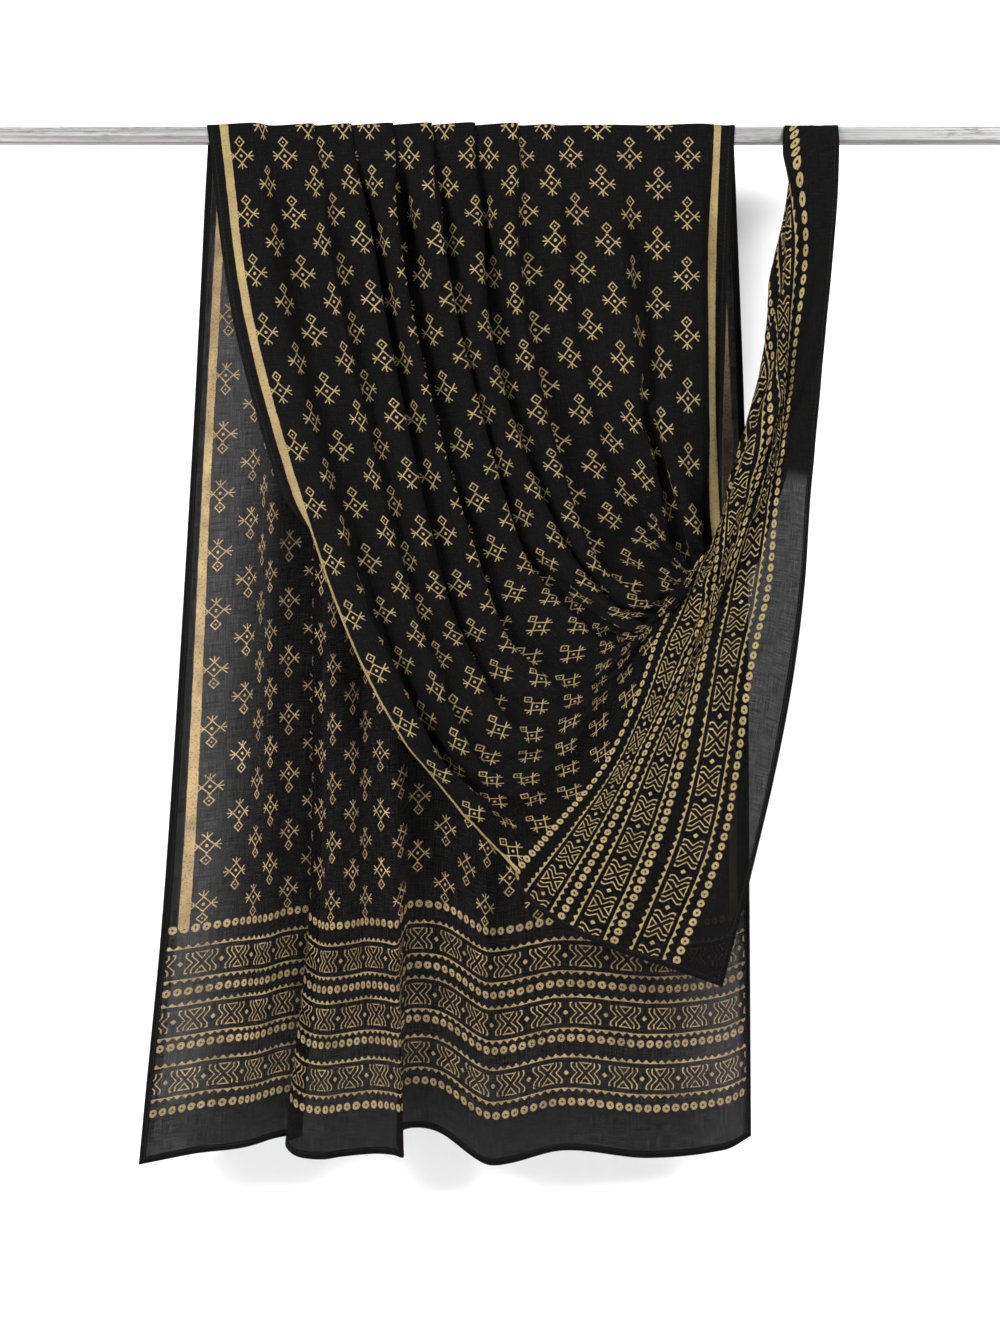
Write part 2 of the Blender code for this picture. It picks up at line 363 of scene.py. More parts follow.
def lay_corner(points, across, down):
    """Carries the lifted corner of the front fall over the bar."""
    for j in np.nonzero(down >= CORNER[0][0])[0]:
        past = float(np.interp(down[j], table(CORNER, 0), table(CORNER, 1)))
        edge_x = float(np.interp(down[j], table(CORNER, 0), table(CORNER, 2)))
        below = WIDTH - past - across
        pull = np.clip((across - PULL_START) / PULL_WIDTH, 0, 1) ** 2
        target = np.stack([
            np.full_like(across, edge_x), -REACH - PULL_FORWARD * below, REACH - PULL_DOWN * below], axis=-1)
        hanging = points[j] * (1 - pull[:, None]) + target * pull[:, None]
        y, z = bar_path(-below)
        over = np.stack([np.full_like(across, edge_x), y, z], axis=-1)
        points[j] = np.where((below < 0)[:, None], over, hanging)
    return points


def back_fall(across, down):
    """Points of the back fall: pleated at the bar, opening into soft folds at the hem."""
    knots = table(BACK_THREADS, 0)
    place, rise = pleated(across, NET[:, 0])
    top = np.stack([curve(KNOTS, NET[:, 0, 0], place), REACH + BAR_RISE * rise], axis=-1)
    levels = [curve(knots, table(BACK_THREADS, k), across) for k in (1, 2, 3)]
    hem = curve(knots, table(BACK_THREADS, 4), across)
    share = down[:, None] / BACK
    z = REACH + (hem - REACH)[None, :] * share
    points = np.empty((len(down), len(across), 3))
    heights = (REACH, *BACK_HEIGHTS)
    table_z = np.array(heights[::-1], float)
    for i in range(len(across)):
        column = np.array([levels[2][i], levels[1][i], levels[0][i], top[i]])
        points[:, i, :2] = curve(table_z, column, z[:, i])
        # under the lowest height the cloth goes straight on
        below = z[:, i] < table_z[0]
        beyond = (z[below, i] - table_z[0])[:, None]
        points[below, i, :2] += beyond * (column[0] - column[1]) / (table_z[0] - table_z[1])
    points[:, :, 2] = z
    return points


def hang(across, along):
    """The whole cloth, before it sags: along runs from the back hem to the front hem."""
    points = np.empty((len(along), len(across), 3))
    back = along < BACK
    over = (along >= BACK) & (along <= BACK + OVER)
    front = along > BACK + OVER
    points[back] = back_fall(across, BACK - along[back])
    down = along[front] - BACK - OVER
    points[front] = lay_corner(front_fall(across, down), across, down)
    place, rise = pleated(across, NET[:, 0])
    for j in np.nonzero(over)[0]:
        y, z = bar_path(BACK + OVER - along[j])
        points[j, :, 0] = curve(KNOTS, NET[:, 0, 0], place)
        points[j, :, 1] = y
        points[j, :, 2] = z + BAR_RISE * rise
    return points * MM


def spaced(*runs):
    """Joins (start, end, faces) runs into one set of grid lines."""
    return np.concatenate([
        *(np.linspace(a, b, n, endpoint=False) for a, b, n in runs), [runs[-1][1]]])


def grid_lines(settings):
    """The sheet's lines across and along.

    They lie closer by the corner that goes over the bar. One lies on each edge of the bar's top,
    and one on the line of the rolled selvedge.
    """
    across = spaced(
        (0.0, ROLL_LINE, ROLL_COLUMNS),
        (ROLL_LINE, CORNER_LINE, settings.columns - ROLL_COLUMNS - CORNER_COLUMNS),
        (CORNER_LINE, WIDTH, CORNER_COLUMNS))
    tail = LENGTH - CORNER[-1][0] + CORNER[0][0]
    falls = settings.rows - BAR_ROWS - CORNER_ROWS
    along = spaced(
        (0.0, BACK, falls // 2),
        (BACK, BACK + OVER, BAR_ROWS),
        (BACK + OVER, tail, falls - falls // 2),
        (tail, LENGTH, CORNER_ROWS))
    return across, along


# ---- meshes ----
def grid_mesh(name, across, along, points):
    """A sheet of quads with its flat place as the UV map "cloth", in metres."""
    rows, columns = len(along), len(across)
    index = np.arange(rows * columns).reshape(rows, columns)
    corners = (index[:-1, :-1], index[:-1, 1:], index[1:, 1:], index[1:, :-1])
    faces = np.stack(corners, axis=-1).reshape(-1, 4)
    mesh = bpy.data.meshes.new(name)
    mesh.from_pydata(points.reshape(-1, 3).tolist(), [], faces.tolist())
    flat = np.stack(np.meshgrid(across * MM, along * MM), axis=-1).reshape(-1, 2)
    layer = mesh.uv_layers.new(name="cloth")
    layer.data.foreach_set("uv", flat[faces.reshape(-1)].ravel())
    mesh.polygons.foreach_set("use_smooth", np.ones(len(faces), bool))
    mesh.update()
    return mesh


def link(name, data):
    """A new object in the scene."""
    made = bpy.data.objects.new(name, data)
    bpy.context.scene.collection.objects.link(made)
    return made


def plain_mesh(obj):
    """Turns obj's modifiers into its own mesh and drops them."""
    result = bpy.data.meshes.new_from_object(obj.evaluated_get(bpy.context.evaluated_depsgraph_get()))
    result.name = obj.name
    obj.modifiers.clear()
    obj.data = result


# ---- the front fall settles ----
def held(across, along):
    """How firmly each point keeps to its place: 1 on the bar, least in the middle of the fall."""
    s, t = np.meshgrid(across, along - BACK - OVER)
    edge = np.minimum(np.minimum(s, (WIDTH - s) * RIGHT_NARROWS), FRONT - t)
    weight = np.maximum(SETTLE_HOLD, SETTLE_EDGE * np.clip(1 - edge / EDGE_WIDTH, 0, 1))
    weight[t <= FAST_DOWN] = 1.0
    past = np.interp(t, table(CORNER, 0), table(CORNER, 1))
    weight[(t >= CORNER[0][0]) & (s >= FAST_ACROSS - past)] = 1.0
    return weight


def settled(frames):
    """Lets the front fall sag under its own weight; gives the grid lines and how far each crossing moved."""
    across = np.linspace(0, WIDTH, SETTLE_GRID[0])
    along = np.linspace(SETTLE_FROM, LENGTH, SETTLE_GRID[1])
    start = hang(across, along)
    fall = link("settling", grid_mesh("settling", across, along, start))
    wide, tall = np.linspace(0, WIDTH, STOP_GRID[0]), np.linspace(0, STOP_TO, STOP_GRID[1])
    behind = link("behind", grid_mesh("behind", wide, tall, hang(wide, tall)))
    behind.modifiers.new("stop", "COLLISION")
    behind.collision.thickness_outer = STOP_SHELL
    # the cloth's rest shape is flat
    fall.shape_key_add(name="Basis")
    flat = fall.shape_key_add(name="flat")
    u, v = np.meshgrid(across * MM, along * MM)
    flat.data.foreach_set("co", np.stack([u, np.zeros_like(u), -v], axis=-1).ravel())
    flat.value = 0.0
    hold = fall.vertex_groups.new(name="hold")
    for i, weight in enumerate(held(across, along).ravel()):
        hold.add([i], float(weight), "REPLACE")
    cloth = fall.modifiers.new("sag", "CLOTH")
    for name, value in SETTLE_CLOTH:
        setattr(cloth.settings, name, value)
    cloth.settings.vertex_group_mass = "hold"
    cloth.settings.rest_shape_key = flat
    for name, value in SETTLE_COLLISION:
        setattr(cloth.collision_settings, name, value)
    scene = bpy.context.scene
    cloth.point_cache.frame_start = 1
    cloth.point_cache.frame_end = frames
    for frame_number in range(1, frames + 1):
        scene.frame_set(frame_number)
    result = fall.evaluated_get(bpy.context.evaluated_depsgraph_get())
    ended = np.empty(start.size, np.float32)
    result.data.vertices.foreach_get("co", ended)
    moved = ended.reshape(start.shape) - start
    scene.frame_set(1)
    for made in (fall, behind):
        mesh = made.data
        bpy.data.objects.remove(made)
        bpy.data.meshes.remove(mesh)
    return across, along, moved


def draped(across, along, frames):
    """The whole cloth with the front fall sagged, its left selvedge rolled after it has settled."""
    points = hang(across, along)
    front = along > BACK + OVER
    down = along[front] - BACK - OVER
    if frames:
        wide, tall, moved = settled(frames)
        fine = curve(tall, moved, along[front]) * ease(*SAG_FADE, down)[:, None, None]
        points[front] += curve(wide, fine.transpose(1, 0, 2), across).transpose(1, 0, 2)
    points[front] = roll_edge(points[front] / MM, across, down) * MM
    return points


# ---- shader nodes ----
class Nodes:
    """Writes shader arithmetic as plain calls; every value is a socket or a number."""

    def __init__(self, tree):
        self.tree = tree
        self.count = 0

    def node(self, kind, **settings):
        made = self.tree.nodes.new(kind)
        made.location = (200 * (self.count // 12) - 3000, -180 * (self.count % 12))
        self.count += 1
        for name, value in settings.items():
            setattr(made, name, value)
        return made

    def put(self, socket, value):
        if isinstance(value, bpy.types.NodeSocket):
            self.tree.links.new(value, socket)
        else:
            socket.default_value = value

    def math(self, operation, *values):
        made = self.node("ShaderNodeMath", operation=operation)
        for socket, value in zip(made.inputs, values):
            self.put(socket, value)
        return made.outputs[0]

    def add(self, a, b):
        return self.math("ADD", a, b)

    def sub(self, a, b):
        return self.math("SUBTRACT", a, b)

    def mul(self, a, b):
        return self.math("MULTIPLY", a, b)

    def absolute(self, a):
        return self.math("ABSOLUTE", a)

    def least(self, first, *rest):
        for other in rest:
            first = self.math("MINIMUM", first, other)
        return first

    def most(self, first, *rest):
        for other in rest:
            first = self.math("MAXIMUM", first, other)
        return first

    def repeat(self, a, pitch):
        """a folded into -pitch/2 .. pitch/2."""
        return self.sub(self.math("WRAP", self.add(a, pitch / 2), pitch, 0.0), pitch / 2)

    def length(self, a, b):
        return self.math("SQRT", self.add(self.mul(a, a), self.mul(b, b)))

    def inside(self, distance, edge, soft):
        """1 where distance is under edge, 0 over it, with a soft step."""
        made = self.node("ShaderNodeMapRange", interpolation_type="SMOOTHSTEP")
        self.put(made.inputs["Value"], distance)
        return self.set_range(made, edge - soft, edge + soft, 1.0, 0.0)

    def ramp(self, value, low, high, out_low=0.0, out_high=1.0):
        made = self.node("ShaderNodeMapRange")
        self.put(made.inputs["Value"], value)
        return self.set_range(made, low, high, out_low, out_high)

    def set_range(self, made, *numbers):
        for name, number in zip(("From Min", "From Max", "To Min", "To Max"), numbers):
            made.inputs[name].default_value = number
        return made.outputs["Result"]

    def stepped(self, value, first, steps):
        """first, and each step's rise added once value is past its place."""
        for place, rise in steps:
            first = self.add(first, self.mul(self.math("GREATER_THAN", value, place), rise))
        return first

    def noise(self, vector, scale, detail=2.0, roughness=0.5, output="Fac"):
        made = self.node("ShaderNodeTexNoise")
        self.put(made.inputs["Vector"], vector)
        made.inputs["Scale"].default_value = scale
        made.inputs["Detail"].default_value = detail
        made.inputs["Roughness"].default_value = roughness
        return made.outputs[output]

    def vector(self, x, y, z=0.0):
        made = self.node("ShaderNodeCombineXYZ")
        for socket, value in zip(made.inputs, (x, y, z)):
            self.put(socket, value)
        return made.outputs[0]

    def parts(self, vector):
        """x, y and z of a vector, or red, green and blue of a colour."""
        made = self.node("ShaderNodeSeparateXYZ")
        self.put(made.inputs[0], vector)
        return made.outputs

    def mix(self, factor, a, b):
        made = self.node("ShaderNodeMix", data_type="RGBA")
        # socket 0 is the factor, 6 and 7 are the two colours, and output 2 is theirs
        self.put(made.inputs[0], factor)
        self.put(made.inputs[6], a)
        self.put(made.inputs[7], b)
        return made.outputs[2]

    def bump(self, shader, strength, height):
        made = self.node("ShaderNodeBump")
        made.inputs["Strength"].default_value = strength
        made.inputs["Distance"].default_value = BUMP_DEPTH
        self.put(made.inputs["Height"], height)
        self.put(shader.inputs["Normal"], made.outputs[0])


# ---- the print ----
def sprig(n, x, y):
    """Distance in mm to the strokes of the field motif; y points towards the bar."""
    half_wide, half_tall = 9.2, 8.9
    p = n.mul(x, 1 / half_wide)
    q = n.mul(y, 1 / half_tall)
    u = n.absolute(n.add(p, q))
    v = n.absolute(n.sub(p, q))
    # the two pairs of crossing lines run on past three corners as feet
    past_corner, to_mm, clear_top = 2.2, 6.4, 9.0
    pair_u = n.most(n.absolute(n.sub(u, 1.0)), n.sub(v, past_corner))
    pair_v = n.most(n.absolute(n.sub(v, 1.0)), n.sub(u, past_corner))
    lines = n.most(n.mul(n.least(pair_u, pair_v), to_mm), n.sub(y, clear_top))
    wide = n.absolute(x)
    side_foot = n.most(n.absolute(y), n.sub(wide, 15.8), n.sub(9.6, wide))
    low_foot = n.most(wide, n.sub(-15.6, y), n.add(y, 9.6))
    # a small diamond stands on the top corner, with a pip in it, and a dot lies in the middle
    top = n.sub(y, 17.2)
    small = n.mul(n.absolute(n.sub(n.add(wide, n.absolute(top)), 6.0)), 0.707)
    dot = n.sub(n.length(x, y), 1.2)
    pip = n.sub(n.length(x, top), 0.3)
    return n.least(lines, side_foot, low_foot, small, dot, pip)


def rings(n, x, y):
    """Distance to a row of hand-stamped rings."""
    pitch, radius, stroke = 12.3, 3.05, 1.05
    away = n.length(n.repeat(x, pitch), y)
    return n.sub(n.absolute(n.sub(away, radius)), stroke)


def figure_band(n, x, b):
    """Distance to a band of hourglasses and zigzags and its toothed lines; b is how far off its middle."""
    pitch, base_line, thin_line = 48.0, 12.3, 19.3
    a = n.absolute(n.repeat(x, pitch))
    # a zigzag slants out from its vertex, then runs straight to the band's edge
    slant = n.least(b, 7.6)
    inner = n.mul(n.absolute(n.sub(a, n.math("MULTIPLY_ADD", slant, 1.02, 3.4))), 0.75)
    outer = n.mul(n.absolute(n.sub(a, n.math("MULTIPLY_ADD", slant, 0.92, 10.9))), 0.77)
    zigzags = n.most(n.least(inner, outer), n.sub(b, 12.0))
    on_base = n.absolute(n.sub(b, base_line))
    hook = n.most(on_base, n.absolute(n.math("MULTIPLY_ADD", a, 0.6, -9.9)))
    # two outlined triangles stand point to point
    side = n.mul(n.absolute(n.sub(a, n.mul(n.sub(b, 4.4), 0.84))), 0.77)
    side = n.most(side, n.sub(b, 12.6), n.sub(3.6, b))
    base = n.most(on_base, n.sub(a, 6.6))
    lozenge = n.sub(n.add(n.absolute(n.sub(pitch / 2, a)), b), 2.6)
    # a thin line on each side, with teeth that point away from the figures
    tooth_pitch, tooth_slope, tooth_tall = 10.3, 0.9, 3.5
    out = n.sub(b, thin_line)
    tooth = n.sub(n.add(n.mul(n.absolute(n.repeat(x, tooth_pitch)), tooth_slope), out), tooth_tall)
    tooth = n.most(tooth, n.mul(out, -1.0))
    return n.least(zigzags, hook, side, base, lozenge, n.add(n.absolute(out), 0.25), tooth)


def field(n, x, y):
    """Distance to the motifs of the field, in columns that each step on by half the motifs' pitch."""
    column = n.math("ROUND", n.mul(n.sub(x, FIRST_COLUMN), 1 / COLUMN_PITCH))
    local_x = n.sub(x, n.math("MULTIPLY_ADD", column, COLUMN_PITCH, FIRST_COLUMN))
    slip = n.ramp(y, SLIP_FROM, BACK + OVER, FIELD_SLIP, 0.0)
    from_row = n.sub(n.sub(n.sub(y, slip), BACK + OVER + FIELD_PHASE), n.mul(column, COLUMN_STEP))
    local_y = n.repeat(from_row, MOTIF_PITCH)
    centre = n.sub(y, local_y)
    # nothing beyond the first and last columns, or in the end patterns
    far = 99.0
    outside = n.most(
        n.sub(FIELD_FROM_HEM, n.least(centre, n.sub(LENGTH, centre))),
        n.mul(column, -far), n.mul(n.sub(column, LAST_COLUMN), far))
    return n.most(sprig(n, local_x, n.mul(local_y, -1.0)), outside)


def print_mask(n, x, y):
    """1 on the pigment. x is mm in from the left selvedge, y mm from the back hem."""
    where = n.vector(x, y)
    sway_x, sway_y, _ = n.parts(n.noise(where, 0.045, 1.0, output="Color"))
    px = n.add(x, n.mul(n.sub(sway_x, 0.5), PRINT_SWAY))
    py = n.add(y, n.mul(n.sub(sway_y, 0.5), PRINT_SWAY))
    side = n.least(px, n.sub(WIDTH, px))
    end = n.least(py, n.sub(LENGTH, py))
    # the end pattern, counted in from each hem
    band = figure_band(n, px, n.absolute(n.sub(end, n.stepped(end, FIRST_BAND, NEXT_BANDS))))
    row = rings(n, px, n.sub(end, n.stepped(end, FIRST_ROW, NEXT_ROWS)))
    border = n.most(n.least(band, row), n.sub(PATTERN_INSET, side))
    # a stripe down each selvedge, between the end patterns
    stripe = n.sub(n.absolute(n.sub(side, STRIPE_MIDDLE)), STRIPE_HALF)
    stripe = n.most(stripe, n.sub(STRIPE_FROM_HEM, end))
    drawn = n.least(field(n, px, py), border, stripe)
    grain = n.sub(n.noise(where, 0.5, 1.0, 0.6), 0.5)
    pigment = n.inside(n.sub(drawn, n.mul(grain, PRINT_RAGGED)), PRINT_SPREAD, PRINT_SOFT)
    # the pigment is thin in spots
    return n.mul(pigment, n.ramp(grain, -0.22, -0.06, 0.35, 1.0))


# ---- finishes ----
def tint(colour, factors):
    """colour times one factor, or one each for red, green and blue, and no brighter than 1."""
    factors = factors if isinstance(factors, tuple) else (factors,) * 3
    return (*(min(1.0, c * f) for c, f in zip(colour, factors)), 1.0)


def new_material(name):
    material = bpy.data.materials.new(name)
    material.use_nodes = True
    material.use_transparent_shadow = False
    tree = material.node_tree
    return material, Nodes(tree), tree.nodes["Principled BSDF"]


def voile_cover(n, x, y, slubs, settings):
    """Share of light that one face of the voile stops, without its print."""
    cover = n.ramp(slubs, 0.6, 1.4, settings.cover - 0.13, settings.cover + 0.09)
    # the hems are two and three cloths thick
    side = n.least(x, n.sub(WIDTH, x))
    edge = n.least(side, n.least(y, n.sub(LENGTH, y)))
    cover = n.most(cover, n.mul(n.math("LESS_THAN", edge, HEM_REACH), HEM_COVER))
    # closer weave along each selvedge; in the margin of the back hem, painted shade: the cloth stops more
    # light there, standing in for the shadow on the wall behind it
    cover = n.add(cover, n.most(n.ramp(side, 15.0, 19.0, 0.10, 0.0), n.ramp(y, 55.0, 90.0, 0.07, 0.0)))
    # nothing shows through the front fall above its end pattern, where it lies over the back fall,
    # or through the end that is folded in by the lifted corner
    doubled = n.least(
        n.ramp(y, BACK - 30.0, BACK + 20.0), n.ramp(y, LENGTH - 370.0, LENGTH - 300.0, 1.0, 0.0))
    folded_in = n.least(n.ramp(x, 530.0, 610.0), n.ramp(y, LENGTH - 78.0, LENGTH - 70.0))
    return n.most(cover, n.mul(n.most(doubled, folded_in), FULL_COVER))


def voile(name, settings, reverse):
    """Sheer black cotton with the block print; the reverse shows the print paler and thinner, with painted
    shade darkening it near the back hem.
    """
    material, n, shader = new_material(name)
    u, v, _ = n.parts(n.node("ShaderNodeUVMap", uv_map="cloth").outputs[0])
    x, y = n.mul(u, 1 / MM), n.mul(v, 1 / MM)
    printed = print_mask(n, x, y)
    patch = n.noise(n.vector(x, y, 3.0), 0.03, 2.0)
    pigment = printed
    if reverse:
        patchy = n.ramp(patch, 0.3, 0.7, 0.70, 0.95)
        # painted shade: the reverse's print is dimmed to 0.72 below 240 mm from the back hem, coming back to
        # full by 340 mm
        pigment = n.mul(n.mul(printed, patchy), n.ramp(y, 240.0, 340.0, 0.72, 1.0))
    # slubs in the warp and the weft
    slub_x = n.noise(n.vector(n.mul(x, 0.9), n.mul(y, 0.035)), 1.0, 1.0, 0.6)
    slub_y = n.noise(n.vector(n.mul(x, 0.035), n.mul(y, 0.9), 5.0), 1.0, 1.0, 0.6)
    slubs = n.add(slub_x, slub_y)
    n.put(shader.inputs["Alpha"], n.most(voile_cover(n, x, y, slubs, settings), printed))
    gold = settings.reverse_pigment if reverse else settings.pigment
    dye = n.mix(n.ramp(slubs, 0.7, 1.3), tint(settings.dye, 0.75), tint(settings.dye, 1.45))
    ink = n.mix(n.ramp(patch, 0.3, 0.7), tint(gold, 0.80), tint(gold, 1.12))
    n.put(shader.inputs["Base Color"], n.mix(pigment, dye, ink))
    n.put(shader.inputs["Roughness"], n.math("MULTIPLY_ADD", pigment, -0.3, 0.92))
    shader.inputs["Specular IOR Level"].default_value = 0.06
    # fine weave
    warp = n.math("SINE", n.mul(x, 2 * math.pi / WEAVE_PITCH))
    weft = n.math("SINE", n.mul(y, 2 * math.pi / WEAVE_PITCH))
    n.bump(shader, 0.35, n.math("MULTIPLY_ADD", warp, weft, slub_x))
    return material


def thread_finish(settings):
    """Black thread, uneven in tone."""
    material, n, shader = new_material("hem_thread")
    at = n.node("ShaderNodeTexCoord").outputs["Object"]
    tone = n.ramp(n.noise(at, 900.0, 2.0), 0.3, 0.7)
    n.put(shader.inputs["Base Color"], n.mix(tone, tint(settings.dye, 0.8), tint(settings.dye, 1.8)))
    shader.inputs["Roughness"].default_value = 0.7
    return material


def brushed_metal(settings):
    """Mill-finished bar: lengthwise brushing, scuffs, dull patches and dark edges, with a painted highlight
    along its top and painted shade along its underside.
    """
    material, n, shader = new_material("scuffed_bar")
    x, y, z = n.parts(n.node("ShaderNodeTexCoord").outputs["Object"])

    def brushing(along, round_bar, detail, roughness):
        """Noise drawn out along the bar; its grains to the metre, along the bar and round it."""
        place = n.vector(n.mul(x, along), n.mul(y, round_bar), n.mul(z, round_bar))
        return n.noise(place, 1.0, detail, roughness)

    streaks = brushing(2.2, 420.0, 3.0, 0.6)
    fine = brushing(9.0, 1500.0, 3.0, 0.65)
    scuffs = brushing(55.0, 420.0, 5.0, 0.7)
    blotch = brushing(7.0, 60.0, 3.0, 0.6)
    dull = n.mul(n.ramp(scuffs, 0.46, 0.64), n.ramp(blotch, 0.44, 0.66))
    corner = n.ramp(n.absolute(z), 0.0090, 0.0096)
    # brushing streaks, with a painted highlight and painted shade: paler towards the bar's top, darker
    # towards its underside
    brushing_and_painted_highlight = n.mul(n.add(streaks, n.mul(fine, 0.45)), n.ramp(z, -0.007, 0.008, 0.93, 1.08))
    pale = n.mix(n.ramp(brushing_and_painted_highlight, 0.45, 0.98), tint(settings.steel, 0.50), tint(settings.steel, 1.75))
    dark = tint(settings.steel, (0.46, 0.40, 0.38))
    n.put(shader.inputs["Base Color"], n.mix(n.most(dull, corner), pale, dark))
    shader.inputs["Metallic"].default_value = 0.85
    n.put(shader.inputs["Roughness"], n.ramp(n.add(fine, scuffs), 0.7, 1.3, 0.30, 0.60))
    n.bump(shader, 0.4, n.add(n.mul(fine, 0.5), scuffs))
    return material


def paper_finish(colour):
    """Matt paper, clear when looked at from behind so that the cloth's back can be seen past it."""
    material, n, shader = new_material("studio_paper")
    at = n.node("ShaderNodeTexCoord").outputs["Object"]
    tone = n.ramp(n.noise(at, 2.5, 3.0), 0.2, 0.8)
    n.put(shader.inputs["Base Color"], n.mix(tone, tint(colour, 0.985), tint(colour, 1.0)))
    n.put(shader.inputs["Alpha"], n.sub(1.0, n.node("ShaderNodeNewGeometry").outputs["Backfacing"]))
    shader.inputs["Roughness"].default_value = 0.9
    return material


# ---- settings ----
class DupattaSettings(bpy.types.PropertyGroup):
    columns: bpy.props.IntProperty(
        name="Columns", description="Cloth faces across the width", default=140, min=40, max=220)
    rows: bpy.props.IntProperty(
        name="Rows", description="Cloth faces along the length", default=310, min=80, max=500)
    cloth: bpy.props.FloatProperty(
        name="Cloth thickness", description="Voile between its hems", default=0.0004, subtype="DISTANCE")
    hem: bpy.props.FloatProperty(
        name="Hem thickness", description="Rolled hem", default=0.0011, subtype="DISTANCE")
    hem_width: bpy.props.FloatProperty(
        name="Hem width", description="Turned-in edge", default=0.008, subtype="DISTANCE")
    stitch_pitch: bpy.props.FloatProperty(
        name="Stitch pitch", description="From one hem stitch to the next", default=0.0046,
        subtype="DISTANCE")
    stitch_length: bpy.props.FloatProperty(
        name="Stitch length", description="Thread that shows in one stitch", default=0.0026,
        subtype="DISTANCE")
    thread: bpy.props.FloatProperty(
        name="Thread", description="Diameter of the hem thread", default=0.0004, subtype="DISTANCE")
    cover: bpy.props.FloatProperty(
        name="Cover", description="Share of light that one side of the voile stops", default=0.80,
        subtype="FACTOR")
    dye: bpy.props.FloatVectorProperty(
        name="Dye", description="Black of the cloth", subtype="COLOR", size=4,
        default=(0.0024, 0.0022, 0.0021, 1))
    pigment: bpy.props.FloatVectorProperty(
        name="Pigment", description="Gold of the print", subtype="COLOR", size=4,
        default=(0.235, 0.174, 0.080, 1))
    reverse_pigment: bpy.props.FloatVectorProperty(
        name="Reverse pigment", description="Print seen from the reverse", subtype="COLOR", size=4,
        default=(0.33, 0.232, 0.118, 1))


class BarSettings(bpy.types.PropertyGroup):
    steel: bpy.props.FloatVectorProperty(
        name="Metal", description="Colour of the bar", subtype="COLOR", size=4,
        default=(0.28, 0.28, 0.28, 1))


class StudioSettings(bpy.types.PropertyGroup):
    distance: bpy.props.FloatProperty(
        name="Distance", description="Camera to the cloth on the bar", default=3.5, subtype="DISTANCE")
    wall: bpy.props.FloatProperty(
        name="Backdrop", description="Behind the bar", default=0.11, subtype="DISTANCE")
    floor: bpy.props.FloatProperty(
        name="Floor", description="Height of the floor", default=-1.80, subtype="DISTANCE")
    paper: bpy.props.FloatVectorProperty(
        name="Paper", description="Backdrop and floor", subtype="COLOR", size=4,
        default=(0.93, 0.93, 0.935, 1))


# ---- hem stitches ----
def seam_lines(settings, across, along, points):
    """A mesh of edges on both faces of the cloth, one line along each hem."""
    # near the inner side of the hem, the thread half sunk into the cloth
    inset = settings.hem_width / MM * 0.8
    sides = (settings.hem / 2 + settings.thread * 0.2) * np.array([1, -1])
    normal = np.cross(np.gradient(points, axis=1), np.gradient(points, axis=0))
    normal /= np.linalg.norm(normal, axis=-1, keepdims=True) + 1e-12
    verts, edges = [], []

    def sew(s, t):
        """Adds the line through flat places s, t on the facets of the cloth."""
        i = np.clip(np.searchsorted(across, s) - 1, 0, len(across) - 2)
        j = np.clip(np.searchsorted(along, t) - 1, 0, len(along) - 2)
        f = ((s - across[i]) / (across[i + 1] - across[i]))[:, None]
        g = ((t - along[j]) / (along[j + 1] - along[j]))[:, None]
        place, out = (
            (1 - g) * ((1 - f) * grid[j, i] + f * grid[j, i + 1])
            + g * ((1 - f) * grid[j + 1, i] + f * grid[j + 1, i + 1]) for grid in (points, normal))
        for side in sides:
            first = len(verts)
            verts.extend((place + out * side).tolist())
            edges.extend((k, k + 1) for k in range(first, len(verts) - 1))

    down = np.clip(along, inset, LENGTH - inset)[1:-1]
    wide = np.clip(across, inset, WIDTH - inset)[1:-1]
    for edge in (inset, WIDTH - inset):
        sew(np.full_like(down, edge), down)
    for edge in (inset, LENGTH - inset):
        sew(wide, np.full_like(wide, edge))
    mesh = bpy.data.meshes.new("seam_lines")
    mesh.from_pydata(verts, edges, [])
    return mesh


